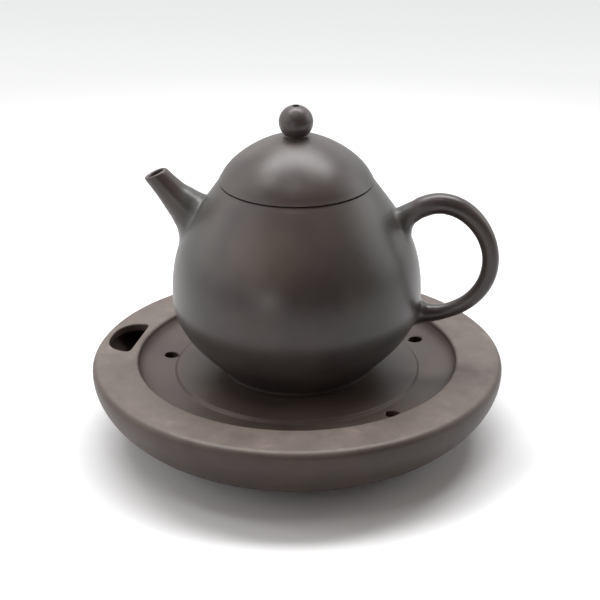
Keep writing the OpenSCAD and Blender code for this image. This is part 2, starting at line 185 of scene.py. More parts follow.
def height_at(line, radius):
    """Height, at a distance from the axis, of an outline that runs inwards"""
    for a, b in zip(line, line[1:]):
        if b.x <= radius <= a.x:
            return a.y + (b.y - a.y) * (a.x - radius) / max(a.x - b.x, 1e-9)
    return line[-1].y


def eased(share):
    """From 0 to 1 with a soft start and a soft end"""
    return share * share * (3 - 2 * share)


def fading(distance, reach):
    """1 at no distance, falling softly to 0 at the reach"""
    return max(0.0, 1 - distance / reach) ** 2


# Work at the bench. A helper leaves Blender in object mode unless it says otherwise

def leave_edit():
    bpy.ops.object.mode_set(mode="OBJECT")


def select_all():
    bpy.ops.mesh.select_all(action="SELECT")


def select_none():
    bpy.ops.mesh.select_all(action="DESELECT")


def clear_selection():
    if bpy.context.object and bpy.context.object.mode != "OBJECT":
        leave_edit()
    bpy.ops.object.select_all(action="DESELECT")


def pick(piece):
    clear_selection()
    piece.select_set(True)
    bpy.context.view_layer.objects.active = piece


def edit(piece):
    """Opens a piece in edit mode with all of it selected"""
    pick(piece)
    bpy.ops.object.mode_set(mode="EDIT")
    select_all()


def discard(piece):
    pick(piece)
    bpy.ops.object.delete()


def apply_modifier(piece, kind, **settings):
    pick(piece)
    modifier = piece.modifiers.new(kind.lower(), kind)
    for name, value in settings.items():
        setattr(modifier, name, value)
    bpy.ops.object.modifier_apply(modifier=modifier.name)


def close_seams(piece):
    """Merges doubles and turns every face outwards"""
    edit(piece)
    bpy.ops.mesh.remove_doubles(threshold=0.004 * MM)
    select_all()
    bpy.ops.mesh.normals_make_consistent(inside=False)
    leave_edit()


def smooth(piece, angle=32):
    pick(piece)
    bpy.ops.object.shade_smooth_by_angle(angle=radians(angle))


def extrude(move):
    bpy.ops.mesh.extrude_region_move(TRANSFORM_OT_translate={"value": move})


def turn(angle, axis, middle):
    """Turns what is selected round an axis. Without a window the operator turns the other way"""
    bpy.ops.transform.rotate(value=-radians(angle), orient_axis=axis, center_override=middle)


def select(piece, wanted):
    """Selects, in edit mode, the parts of a mesh that wanted picks by their place or normal"""
    select_none()
    mesh = bmesh.from_edit_mesh(piece.data)
    for part in wanted(mesh):
        part.select_set(True)
    mesh.select_flush(True)
    bmesh.update_edit_mesh(piece.data)


def drawn(name, points):
    """A wire drawn from point to point. It is left in edit mode"""
    clear_selection()
    bpy.ops.mesh.primitive_plane_add(size=MM, location=(0, 0, 0))
    piece = bpy.context.object
    piece.name = piece.data.name = name
    edit(piece)
    bpy.ops.mesh.merge(type="CENTER")
    bpy.ops.transform.translate(value=points[0])
    for here, there in zip(points, points[1:]):
        bpy.ops.mesh.extrude_vertices_move(TRANSFORM_OT_translate={"value": there - here})
    select_all()
    return piece


def turned(name, outline, sides):
    """A turned piece: its outline is drawn as a wire in X and Z, then spun round the axis"""
    points = [Vector((p[0], 0, p[1])) for p in outline]
    points = points[:1] + [b for a, b in zip(points, points[1:]) if (b - a).length > 0.01 * MM]
    piece = drawn(name, points)
    bpy.ops.mesh.spin(
        steps=sides, angle=tau, center=(0, 0, 0), axis=(0, 0, 1), use_auto_merge=True,
    )
    leave_edit()
    close_seams(piece)
    return piece


class Ring:
    """A ring of a swept tube: its middle in X and Z, the way it faces in degrees, its radius across,
    and how much longer it is up its slope"""

    def __init__(self, middle, facing, radius, stretch=1.0):
        self.middle = Vector(middle)
        self.facing = facing
        self.radius = radius
        self.stretch = stretch

    @property
    def place(self):
        return Vector((self.middle.x, 0, self.middle.y))

    def holds(self, point):
        """Whether a point lies on the ring"""
        off = point - self.place
        ahead, up = along(1.0, self.facing), along(1.0, self.facing + 90)
        slope = (off.x * up.x + off.z * up.y) / (self.radius * self.stretch)
        flat = abs(off.x * ahead.x + off.z * ahead.y) < 0.01 * MM
        return flat and abs(hypot(slope, off.y / self.radius) - 1) < 0.002


def swept(name, rings, count=48):
    """A tube drawn ring after ring: each is extruded from the last, turned and resized"""
    first = rings[0]
    clear_selection()
    bpy.ops.mesh.primitive_circle_add(
        vertices=count, radius=first.radius, location=first.place,
        rotation=(0, radians(90 - first.facing), 0),
    )
    piece = bpy.context.object
    piece.name = piece.data.name = name
    bpy.ops.object.transform_apply(location=True, rotation=True, scale=True)
    edit(piece)
    bpy.ops.transform.resize(value=(first.stretch, 1, first.stretch), center_override=first.place)
    for last, ring in zip(rings, rings[1:]):
        extrude(ring.place - last.place)
        turn(last.facing - ring.facing, "Y", ring.place)
        grow = ring.radius / last.radius
        longer = grow * ring.stretch / last.stretch
        bpy.ops.transform.resize(value=(longer, grow, longer), center_override=ring.place)
    leave_edit()
    return piece


def mark(piece, name, ring):
    """Puts the points of one ring into a vertex group"""
    edit(piece)
    select(piece, lambda mesh: [vertex for vertex in mesh.verts if ring.holds(vertex.co)])
    piece.vertex_groups.new(name=name)
    piece.vertex_groups.active_index = piece.vertex_groups[name].index
    bpy.ops.object.vertex_group_assign()
    leave_edit()


def settle(piece, group, onto, lift):
    """Lays the points of a vertex group on another piece, lifted off it or sunk into it"""
    apply_modifier(
        piece, "SHRINKWRAP", target=onto, vertex_group=group,
        wrap_method="NEAREST_SURFACEPOINT", wrap_mode="ABOVE_SURFACE", offset=lift,
    )


def round_foot(piece, group):
    """Rounds the corner where a tube meets the belly, from its last ring out to its skirt's edge"""
    edit(piece)
    bpy.ops.mesh.select_mode(type="VERT")
    select_none()
    piece.vertex_groups.active_index = piece.vertex_groups[group].index
    bpy.ops.object.vertex_group_select()
    bpy.ops.mesh.select_mode(type="EDGE")
    bpy.ops.mesh.bevel(offset_type="PERCENT", offset_pct=98, segments=12, profile=0.5, affect="EDGES")
    bpy.ops.mesh.select_mode(type="VERT")
    leave_edit()


def lute_on(piece, roots, onto, lift):
    """Sets the roots of a tube on the belly and rounds the clay between them. Each root is named
    and gives its rings"""
    for name, rings in roots.items():
        mark(piece, name + "_foot", rings["foot"])
        mark(piece, name + "_edge", rings["edge"])
    for name in roots:
        settle(piece, name + "_foot", onto, lift)
        settle(piece, name + "_edge", onto, EDGE_SINK)
        round_foot(piece, name + "_foot")


def melt_edges(piece, roots, onto):
    """Gives the edge of each root the shading of the belly that it melts into"""
    for name in roots:
        apply_modifier(
            piece, "DATA_TRANSFER", object=onto, vertex_group=name + "_edge", use_loop_data=True,
            data_types_loops={"CUSTOM_NORMAL"}, loop_mapping="POLYINTERP_NEAREST",
        )
    piece.vertex_groups.clear()


def relax_root(piece, foot, facing, low, high, times):
    """Relaxes the clay of a root between two heights over the belly, as a wet finger would"""
    away = along(1.0, facing)
    edit(piece)

    def near(vertex):
        off = vertex.co - Vector((foot.x, 0, foot.y))
        return low < off.x * away.x + off.z * away.y < high and off.length < high * 1.6

    select(piece, lambda mesh: [vertex for vertex in mesh.verts if near(vertex)])
    bpy.ops.mesh.vertices_smooth(factor=0.5, repeat=times)
    leave_edit()


def edit_open_ends(piece):
    """Opens a tube in edit mode with the rings of its open ends selected"""
    edit(piece)
    select_none()
    bpy.ops.mesh.select_non_manifold(extend=False)


def cut(piece, cutter):
    """Takes the cutter out of the piece and throws the cutter away"""
    apply_modifier(piece, "BOOLEAN", operation="DIFFERENCE", solver="EXACT", object=cutter)
    discard(cutter)


def punch(name, outline, top, low, edge):
    """A cutter for a hole with a rounded edge. The outline is that of the hole where it is narrow"""
    above = 0.5 * MM
    count = len(outline)
    wide = []
    for index, here in enumerate(outline):
        run = outline[(index + 1) % count] - outline[index - 1]
        wide.append(here + Vector((run.y, -run.x)).normalized() * edge)
    points = [Vector((p.x, p.y, top + above)) for p in wide]
    piece = drawn(name, points + points[:1])
    bpy.ops.mesh.remove_doubles(threshold=0.001 * MM)
    select_all()
    bpy.ops.mesh.edge_face_add()
    extrude((0, 0, -above))
    select_all()
    bpy.ops.mesh.normals_make_consistent(inside=False)
    select(piece, lambda mesh: [face for face in mesh.faces if face.normal.z < -0.9])
    angles = [radians(a) for a in (0, 18, 36, 54, 72, 90)]
    for a, b in zip(angles, angles[1:]):
        bpy.ops.mesh.inset(
            thickness=edge * (sin(b) - sin(a)), depth=edge * (cos(a) - cos(b)),
        )
    extrude((0, 0, low - top + edge))
    leave_edit()
    close_seams(piece)
    return piece


# The pot's outline, which the spout and the handle are luted on to. Its curves leave the base, the
# belly and the mouth at these slopes and with these pulls

BASE_SLOPE, MOUTH_SLOPE = 49, 125.5
BASE_PULL, MOUTH_PULL = 10.7 * MM, 18.2 * MM
BELLY_PULL_DOWN, BELLY_PULL_UP = 12.9 * MM, 19.4 * MM


def pot_side(sizes, inner=0.0):
    """Points of the pot's outline from its base over the belly to its mouth, or of its inside"""
    base = Vector((sizes.base_r, FOOT_TOP))
    belly = Vector((BELLY_R, REST_Z + sizes.belly_z))
    mouth = Vector((sizes.mouth_r, SEAT_Z))
    if inner:
        base = Vector((sizes.base_r - inner, BASE_TOP))
        belly.x -= inner
        mouth.x -= inner / sin(radians(MOUTH_SLOPE))
    return [base] + curve_to(
        base, base + along(BASE_PULL, BASE_SLOPE), belly - Vector((0, BELLY_PULL_DOWN)), belly, 32
    ) + curve_to(
        belly, belly + Vector((0, BELLY_PULL_UP)), mouth - along(MOUTH_PULL, MOUTH_SLOPE), mouth, 40
    )


def belly_radius(side, z):
    """Distance from the axis, at a height, of an outline that runs upwards"""
    for a, b in zip(side, side[1:]):
        if a.y <= z <= b.y:
            return a.x + (b.x - a.x) * (z - a.y) / (b.y - a.y)
    return side[-1].x if z > side[-1].y else side[0].x


def belly_facing(side, z):
    """The way the belly faces at a height, in degrees above level"""
    rise = 0.2 * MM
    slope = (belly_radius(side, z + rise) - belly_radius(side, z - rise)) / (2 * rise)
    return degrees(atan2(-slope, 1.0))


def root_rings(foot, facing, heading, thickness, above, beside, below):
    """Rings of a tube's root: the plug in the wall, the edge of the smoothed clay on the belly, the
    tube's foot, and the ring where the smoothing starts.

    thickness gives the tube's radius at a distance from the foot. above, beside and below say how
    far the clay is smoothed over the belly.
    """
    down = along(1.0, facing - 90) if abs(facing) < 90 else along(1.0, facing + 90)
    oblique = 1 / cos(radians(heading - facing))
    away, probe = beside * oblique, 0.5 * MM
    start = thickness(away)
    radius = start + (start - thickness(away + probe)) / probe * away
    across = radius + beside
    return {
        "plug": Ring(foot - along(1.2 * MM, facing), facing, radius * 0.5),
        "edge": Ring(foot + down * (below - above) / 2, facing, across,
                     (radius * oblique + (above + below) / 2) / across),
        "foot": Ring(foot, facing, radius, oblique),
        "start": Ring(foot + along(away, heading), facing, start, oblique),
    }


# Shader sockets that take part in Python's arithmetic

class Flow:
    """An output socket. Sums, products and powers of it add Math nodes to its tree"""

    def __init__(self, finish, socket):
        self.finish = finish
        self.socket = socket

    def part(self, index):
        return Flow(self.finish, self.socket.node.outputs[index])

    def maths(self, operation, a, b):
        return self.finish.node("Math", {"operation": operation}, {0: a, 1: b})

    def __add__(self, other):
        return self.maths("ADD", self, other)

    def __radd__(self, other):
        return self.maths("ADD", other, self)

    def __sub__(self, other):
        return self.maths("SUBTRACT", self, other)

    def __rsub__(self, other):
        return self.maths("SUBTRACT", other, self)

    def __mul__(self, other):
        return self.maths("MULTIPLY", self, other)

    def __rmul__(self, other):
        return self.maths("MULTIPLY", other, self)

    def __truediv__(self, other):
        return self.maths("DIVIDE", self, other)

    def __rtruediv__(self, other):
        return self.maths("DIVIDE", other, self)

    def __pow__(self, other):
        return self.maths("POWER", self, other)


class Finish:
    """The node tree of one material, or of the world"""

    def __init__(self, name, owners=None):
        self.owner = (bpy.data.materials if owners is None else owners).new(name)
        self.owner.use_nodes = True
        self.tree = self.owner.node_tree
        self.tree.nodes.clear()

    def node(self, kind, settings=None, sockets=None, out=0):
        """Adds a node. Its settings come first, then the values or links of its sockets"""
        node = self.tree.nodes.new("ShaderNode" + kind)
        for key, value in (settings or {}).items():
            setattr(node, key, value)
        for key, value in (sockets or {}).items():
            socket = node.inputs[key]
            if isinstance(value, Flow):
                self.tree.links.new(value.socket, socket)
            elif socket.type == "RGBA" and len(value) == 3:
                socket.default_value = (*value, 1)
            else:
                socket.default_value = value
        return Flow(self, node.outputs[out]) if node.outputs else self.owner

    def smoothed(self, value, low, high):
        """0 under low, 1 over high and smooth between them"""
        return self.node("MapRange", {"interpolation_type": "SMOOTHSTEP"},
                         {"Value": value, "From Min": low, "From Max": high})

    def blend(self, factor, a, b, how="MIX"):
        """Mixes two colours"""
        return self.node("Mix", {"data_type": "RGBA", "blend_type": how}, {0: factor, 6: a, 7: b}, out=2)

    def noise(self, place, scale, detail, rough, fourth=None):
        """Noise round 0.5. A fourth measure, where there is one, leads through further noise"""
        sockets = {"Vector": place, "Scale": scale, "Detail": detail, "Roughness": rough}
        if fourth is None:
            return self.node("TexNoise", {"noise_dimensions": "3D"}, sockets)
        return self.node("TexNoise", {"noise_dimensions": "4D"}, {**sockets, "W": fourth})

    def larger(self, a, b):
        return self.node("Math", {"operation": "MAXIMUM"}, {0: a, 1: b})

    def output(self, surface):
        kind = "OutputWorld" if isinstance(self.owner, bpy.types.World) else "OutputMaterial"
        return self.node(kind, None, {"Surface": surface})


# Middle of the redder cheek, where painted light lies on the pot's front, and turning lines to the metre
LIT_BLUSH_AT = (-0.005, -0.036, 0.084)
GROOVES = 1400


def fired_clay(name, dark, light, cool, gloss, ior, lighter=None, lit_blush=None):
    """Unglazed clay: kiln mottling, turning lines, fine grain, wear where hands and cloths rub, a paler
    flat top on the tray's rim, and on the pot a painted sheen on its sides and painted light on its front
    """
    clay = Finish(name)
    place = clay.node("TexCoord", out=3)
    split = clay.node("SeparateXYZ", None, {0: place})
    x, y, z = (split.part(index) for index in range(3))
    radius = (x * x + y * y + 1e-8) ** 0.5
    turning = clay.node("CombineXYZ", None, {0: x / radius * 0.35, 1: y / radius * 0.35, 2: z * GROOVES})

    clouds = clay.noise(place, 34, 3, 0.5)
    bloom = clay.noise(place, 46, 2.5, 0.55, 4.7)
    lines = clay.noise(turning, 1, 2, 0.5, radius * GROOVES)
    grain = clay.noise(place, 1900, 3, 0.7)
    mottle = clay.noise(place, 150, 4, 0.6)
    specks = clay.node("TexVoronoi", {"feature": "F1"}, {"Vector": place, "Scale": 900, "Randomness": 1.0})

    body = clay.blend(clay.smoothed(clouds, 0.36, 0.66), dark, light)
    if lit_blush:
        # The pot's left and right sides are painted greyer, a painted sheen of the white set round them
        aside = (x * x) ** 0.5
        painted_sheen = clay.smoothed(aside + (bloom - 0.5) * 0.03, 0.014, 0.040)
        painted_sheen = painted_sheen - clay.smoothed(aside, 0.038, 0.043)
        body = clay.blend(painted_sheen * 0.75, body, cool)
        # One cheek on the front is redder clay, painted paler as painted light where the front is lit
        cheek = clay.node("VectorMath", {"operation": "DISTANCE"}, {0: place, 1: LIT_BLUSH_AT}, out=1)
        off_cheek = clay.smoothed(cheek + (clouds - 0.5) * 0.02, 0.002, 0.020)
        body = clay.blend((1 - off_cheek) * 0.8, body, lit_blush)
    else:
        body = clay.blend(clay.smoothed(bloom, 0.46, 0.68) * 0.6, body, cool)
    tone = 0.79 + grain * 0.18 + mottle * 0.20 + lines * 0.05
    body = clay.blend(1.0, body, clay.node("CombineColor", None, {0: tone, 1: tone, 2: tone}), "MULTIPLY")
    body = clay.blend(clay.smoothed(0.10 - specks, 0.0, 0.06) * 0.35, body, tuple(c * 1.7 for c in light))
    # The rim's flat top is drawn paler, in uneven patches, with paler scuffs
    if lighter:
        rubbed = clay.noise(place, 120, 5, 0.65)
        scuffs = clay.smoothed(rubbed, 0.56, 0.76)
        on_top = clay.smoothed(z, RIM_TOP - 1.0 * MM, RIM_TOP - 0.05 * MM)
        body = clay.blend(on_top * (0.44 + clouds * 0.5 + (rubbed - 0.5) * 1.5), body, lighter)
        body = clay.blend(on_top * scuffs * 0.45, body, tuple(c * 1.55 for c in lighter))

    height = grain * 0.35 + lines * 0.65 + clouds * 0.5
    bump = clay.node("Bump", None, {"Strength": 0.22, "Distance": 0.05 * MM, "Height": height})
    roughness = gloss + (clouds - 0.5) * 0.10 + (mottle - 0.5) * 0.08 + (grain - 0.5) * 0.06
    if lit_blush:
        # The handle is polished by use
        roughness = roughness - clay.smoothed(x, 0.043, 0.050) * 0.05
    surface = clay.node("BsdfPrincipled", None, {
        "Base Color": body, "Roughness": roughness, "IOR": ior, "Normal": bump,
    })
    return clay.output(surface)


def pot_clay(looks):
    name = "pot_clay_fired"
    return bpy.data.materials.get(name) or fired_clay(
        name, looks.pot_dark, looks.pot_light, looks.pot_sheen_grey, 0.36, 1.5, lit_blush=looks.pot_lit_blush)


def tray_clay(looks):
    name = "tray_clay_fired"
    return bpy.data.materials.get(name) or fired_clay(
        name, looks.tray_dark, looks.tray_light, looks.tray_cool, 0.47, 1.42, lighter=looks.rim_top_clay)


def dress(piece, material):
    piece.data.materials.clear()
    piece.data.materials.append(material)


# Tray

# Each drain's bearing in degrees and how many millimetres it lies outside the rest's edge
DRAINS = ((175, 3.5), (104, 4.7), (33.5, 5.8), (-41.5, 5.3))
DRAIN_TILT = 2.2
DRAIN_EDGE = 0.3 * MM
POUR_BEARING = 174
POUR_EDGE = 0.45 * MM
POUR_CORNER = 1.1 * MM
# How square the pour hole's round side is: 1 is half an ellipse
POUR_SHAPE = 0.8


def well_side(sizes, shift=0.0):
    """The well's wall from the rim down to its ground, or its underside"""
    well_r = TRAY_R - sizes.rim_w
    ground_r = well_r - sizes.well_wall_w
    start = Vector((well_r + shift, RIM_TOP - sizes.well_round))
    return [start] + curve_to(
        start,
        (well_r + shift - sizes.well_wall_w * 0.1,
         FLOOR_Z + (RIM_TOP - FLOOR_Z) * 0.1 - shift * 0.8),
        (ground_r + sizes.well_wall_w * 0.5, FLOOR_Z - shift),
        (ground_r, FLOOR_Z - shift),
        28,
    )


def half_moon(sizes):
    """Outline of the pour hole, counter-clockwise, with its straight side towards the pot"""
    near = TRAY_R - sizes.rim_w + sizes.pour_land
    depth = TRAY_R - sizes.pour_edge - near
    points = [
        Vector((near + depth * cos(a) ** POUR_SHAPE,
                sizes.pour_half * copysign(abs(sin(a)) ** POUR_SHAPE, a)))
        for a in (radians(3 * i) for i in range(-30, 31))
    ]
    points += [Vector((near, sizes.pour_half * s)) for s in (0.85, 0.6, 0.3, 0.0, -0.3, -0.6, -0.85)]
    # The two corners are wiped round
    for _ in range(2):
        points = [
            p if (p - Vector((near, copysign(sizes.pour_half, p.y)))).length > POUR_CORNER
            else (points[i - 1] + p * 2 + points[(i + 1) % len(points)]) / 4
            for i, p in enumerate(points)
        ]
    return points


def teardrop(sizes, place):
    """Outline of a drain hole: round, with a point towards the pot"""
    radius = sizes.drain_d / 2
    tangent = degrees(acos(radius / sizes.drain_point))
    arc = [along(radius, -180 + tangent + (360 - 2 * tangent) * i / 28) for i in range(29)]
    return [p + Vector((place, 0)) for p in arc + [Vector((-sizes.drain_point, 0))]]


class TEAPOT_OT_tray_deck(bpy.types.Operator):
    """Turn the tray's rim, well and rest in one piece, then cut the drain holes and the pour hole"""

    bl_idname = "teapot.tray_deck"
    bl_label = "Tray Rim, Well and Rest"

    def execute(self, context):
        sizes, looks = context.scene.teapot_tray, context.scene.teapot_looks
        well_r = TRAY_R - sizes.rim_w
        side = well_side(sizes)
        under = [p for p in reversed(well_side(sizes, sizes.well_t)) if p.y < RIM_LOW]
        crease = sizes.crease
        outline = (
            line_to(0, REST_Z) + line_to(REST_R * 0.5, REST_Z) + line_to(REST_R - crease * 1.4, REST_Z)
            + curve_to((REST_R - crease * 1.4, REST_Z), (REST_R - crease * 0.3, REST_Z),
                       (REST_R - crease * 0.1, FLOOR_Z), (REST_R + crease, FLOOR_Z), 10)
            + list(reversed(side))
            + round_to((well_r + sizes.well_round, RIM_TOP - sizes.well_round), sizes.well_round, 172, 90)
            + line_to(TRAY_R - sizes.rim_w * 0.5, RIM_TOP)
            + round_to((TRAY_R - sizes.rim_round, RIM_TOP - sizes.rim_round), sizes.rim_round, 90, 0, 12)
            + line_to(TRAY_R, RIM_LOW) + line_to(well_r + sizes.well_t, RIM_LOW)
            + list(reversed(under)) + line_to(REST_R, WELL_LOW) + line_to(0, WELL_LOW)
        )
        deck = turned("tray_deck", outline, looks.sides)
        # One cutter is made on the X axis and copied to every drain
        first = REST_R + 4.8 * MM
        height = height_at(side, first)
        drain = punch("drain_punch", teardrop(sizes, first), height, WELL_LOW - MM, DRAIN_EDGE)
        edit(drain)
        turn(-DRAIN_TILT, "Y", (first, 0, height))
        leave_edit()
        for bearing, gap in DRAINS:
            pick(drain)
            bpy.ops.object.duplicate()
            copy = bpy.context.object
            place = REST_R + gap * MM
            edit(copy)
            bpy.ops.transform.translate(value=(place - first, 0, height_at(side, place) - height))
            turn(bearing, "Z", (0, 0, 0))
            leave_edit()
            cut(deck, copy)
        discard(drain)
        pour = punch("pour_punch", half_moon(sizes), RIM_TOP, RIM_LOW - MM, POUR_EDGE)
        edit(pour)
        turn(POUR_BEARING, "Z", (0, 0, 0))
        leave_edit()
        cut(deck, pour)
        close_seams(deck)
        smooth(deck)
        dress(deck, tray_clay(looks))
        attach(deck, "tray")
        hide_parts("tray_rim", "tray_well", "tray_rest")
        return {"FINISHED"}


class TEAPOT_OT_tray_bowl(bpy.types.Operator):
    """Turn the tray's outer bowl with its foot ring"""

    bl_idname = "teapot.tray_bowl"
    bl_label = "Tray Bowl"

    def execute(self, context):
        sizes, looks = context.scene.teapot_tray, context.scene.teapot_looks
        wall, foot, soft = sizes.bowl_t, sizes.foot_w, 0.8 * MM
        inside = curve_to(
            (TRAY_FOOT_R, BOWL_LOW + wall), (TRAY_FOOT_R + sizes.under_pull, BOWL_LOW + wall),
            (TRAY_R - wall, RIM_LOW - sizes.side_pull), (TRAY_R - wall, RIM_LOW), 32)
        outside = curve_to(
            (TRAY_R, RIM_LOW), (TRAY_R, RIM_LOW - sizes.side_pull),
            (TRAY_FOOT_R + sizes.under_pull, BOWL_LOW), (TRAY_FOOT_R, BOWL_LOW), 40)
        outline = (
            line_to(0, BOWL_LOW + wall) + line_to(TRAY_FOOT_R, BOWL_LOW + wall) + inside
            + line_to(TRAY_R, RIM_LOW) + outside
            + line_to(TRAY_FOOT_R, soft * 2)
            + round_to((TRAY_FOOT_R - soft, soft), soft, 0, -90)
            + round_to((TRAY_FOOT_R - foot + soft, soft), soft, -90, -180)
            + line_to(TRAY_FOOT_R - foot, BOWL_LOW) + line_to(0, BOWL_LOW)
        )
        bowl = turned("tray_bowl_shell", outline, looks.sides)
        smooth(bowl)
        dress(bowl, tray_clay(looks))
        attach(bowl, "tray")
        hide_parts("tray_bowl", "tray_foot_ring")
        return {"FINISHED"}


# Pot

# The spout's heading and the slant of its cut are in degrees
SPOUT_HEADING = 180 - 49.4
SPOUT_CUT = 16.6
SPOUT_LEN = 20.2 * MM
SPOUT_ROOT_Z = SEAT_Z - 14.3 * MM
SPOUT_TIP_R = 4.15 * MM
SPOUT_ROOT_R = 8.3 * MM
SPOUT_HOLE_R = 5.2 * MM
SPOUT_LIP = 1.25 * MM
# Along a spout or handle, the length over which its rings turn to lie along the belly
ROOT_TURN = 6 * MM


def spout_ring(side, distance, radius):
    """A ring round the spout's axis. Towards the mouth it leans over to the slant of the cut"""
    root = Vector((-belly_radius(side, SPOUT_ROOT_Z), SPOUT_ROOT_Z))
    share = min(1.0, max(0.0, (distance / SPOUT_LEN - 0.35) / 0.65))
    lean = SPOUT_CUT * eased(share)
    return Ring(root + along(distance, SPOUT_HEADING), SPOUT_HEADING - lean, radius,
                1 / cos(radians(lean)))


class TEAPOT_OT_pot_body(bpy.types.Operator):
    """Turn the pot's wall, base, foot ring and seat in one piece, and cut the hole for the spout"""

    bl_idname = "teapot.pot_body"
    bl_label = "Pot Body"

    def execute(self, context):
        sizes, looks = context.scene.teapot_pot, context.scene.teapot_looks
        side, inner = pot_side(sizes), pot_side(sizes, sizes.wall_t)
        ring_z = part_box("pot_mouth_ring")[0].z
        bore = sizes.mouth_r - sizes.seat_w
        soft, lip, seam, foot_in = 0.5 * MM, 0.3 * MM, sizes.seam, FOOT_R - sizes.foot_w
        inside = [p for p in reversed(inner) if p.y < ring_z]
        outline = (
            line_to(0, FOOT_TOP) + line_to(foot_in, FOOT_TOP)
            + round_to((foot_in + soft, REST_Z + soft), soft, 180, 270)
            + round_to((FOOT_R - soft, REST_Z + soft), soft, -90, 0)
            + line_to(FOOT_R, FOOT_TOP - soft)
            + side[:-1]
            + round_to((sizes.mouth_r - seam, SEAT_Z - seam), seam, 35, 90, 6)
            + line_to(bore + lip, SEAT_Z)
            + round_to((bore + lip, SEAT_Z - lip), lip, 90, 180, 5)
            + line_to(bore, ring_z) + line_to(belly_radius(inner, ring_z), ring_z)
            + inside + line_to(0, BASE_TOP)
        )
        body = turned("pot_body", outline, looks.sides)
        middle = spout_ring(side, -1.5 * MM, SPOUT_HOLE_R)
        clear_selection()
        bpy.ops.mesh.primitive_cylinder_add(
            vertices=64, radius=SPOUT_HOLE_R, depth=15 * MM, location=middle.place,
            rotation=(0, radians(90 - SPOUT_HEADING), 0),
        )
        cut(body, context.object)
        close_seams(body)
        smooth(body)
        dress(body, pot_clay(looks))
        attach(body, "pot")
        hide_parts("pot_wall", "pot_base", "pot_foot_ring", "pot_mouth_ring")
        return {"FINISHED"}


class TEAPOT_OT_spout(bpy.types.Operator):
    """Model the spout with its smoothed root, its slanted lip and its bore"""

    bl_idname = "teapot.spout"
    bl_label = "Spout"

    def execute(self, context):
        sizes, looks = context.scene.teapot_pot, context.scene.teapot_looks
        side = pot_side(sizes)

        def flare(distance):
            share = (SPOUT_LEN - distance) / SPOUT_LEN
            return SPOUT_TIP_R + (SPOUT_ROOT_R - SPOUT_TIP_R) * (0.4 * share + 0.6 * share ** 3)

        soft = SPOUT_LIP / 2
        bore_r, deep = SPOUT_TIP_R - SPOUT_LIP, -1.0 * MM
        far = SPOUT_LEN - soft
        bore = [
            spout_ring(side, deep + (far - deep) * i / 14, SPOUT_HOLE_R + (bore_r - SPOUT_HOLE_R) * i / 14)
            for i in range(14)
        ]
        lip = [spout_ring(side, far + soft * sin(a), SPOUT_TIP_R - soft - soft * cos(a))
               for a in (radians(180 * i / 12) for i in range(13))]
        facing = 180 - belly_facing(side, SPOUT_ROOT_Z)
        foot = Vector((-belly_radius(side, SPOUT_ROOT_Z), SPOUT_ROOT_Z))
        fillet, near = sizes.spout_fillet, sizes.spout_fillet * 1.8
        root = root_rings(foot, facing, SPOUT_HEADING, flare, sizes.spout_above, fillet, sizes.spout_below)
        outside, count = [], 40
        for i in range(1, count):
            distance = far - (far - near) * i / count
            ring = spout_ring(side, distance, flare(distance))
            share = fading(distance - near, ROOT_TURN)
            ring.facing += (facing - SPOUT_HEADING) * share
            ring.stretch += (root["start"].stretch - 1) * share
            outside.append(ring)
        spout = swept("pot_spout", bore + lip + outside + [root["start"], root["foot"], root["edge"]], 64)
        body = bpy.data.objects["pot_body"]
        roots = {"spout": root}
        lute_on(spout, roots, body, 0.15 * MM)
        edit_open_ends(spout)
        bpy.ops.mesh.bridge_edge_loops()
        leave_edit()
        close_seams(spout)
        smooth(spout, 40)
        melt_edges(spout, roots, body)
        dress(spout, pot_clay(looks))
        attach(spout, "pot")
        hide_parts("spout")
        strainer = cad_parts["spout_strainer"]
        dress(strainer, pot_clay(looks))
        return {"FINISHED"}


# The handle's loop: its first heading in degrees, and how far its two roots, its crown and its
# outermost point lie from the seat or the belly
HANDLE_HEADING = 46
HANDLE_TOP_DROP = 13.7 * MM
HANDLE_LOW_DROP = 7.1 * MM
CROWN_OUT, CROWN_DROP = 6 * MM, 6.3 * MM
OUTER_OUT, OUTER_DROP = 24.2 * MM, 27.3 * MM
# Its radius from the top root over the crown and the outermost point to the lower root, and how
# much it widens towards each root, in millimetres
HANDLE_THICK, HANDLE_SIDE, HANDLE_THIN = 3.7, 3.0, 2.7
TOP_FLARE, LOW_FLARE = 1.7, 2.0


